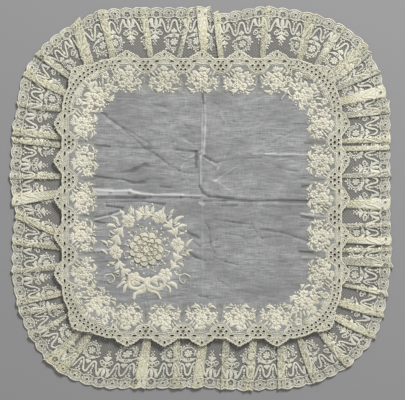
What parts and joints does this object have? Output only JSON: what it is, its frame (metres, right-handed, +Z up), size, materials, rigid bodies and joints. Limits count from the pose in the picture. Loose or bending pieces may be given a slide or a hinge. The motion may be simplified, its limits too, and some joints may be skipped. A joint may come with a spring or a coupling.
{
  "type": "lace handkerchief",
  "caption": "Square lady's handkerchief laid flat: sheer lawn with scalloped, embroidered border and corner spray, and a pleated frill of bobbin lace behind its edge.",
  "frame": {"origin": "middle of the handkerchief's outline, on the surface that it lies on", "axes": "+Z up, square to the surface; +Y towards the edge at the top of the picture, so that the embroidered corner spray is at -X, -Y"},
  "size_m": [0.4205, 0.4226, 0.0052],
  "materials": {
    "lace_frill": "cream cotton bobbin lace, matt, on an open net ground",
    "lawn_square": "fine white lawn, slightly sheer and matt, with raised cream satin stitch"
  },
  "bodies": {
    "root": {"lawn_square": "lawn_square", "lace_frill": "lace_frill"}
  },
  "joints": []
}
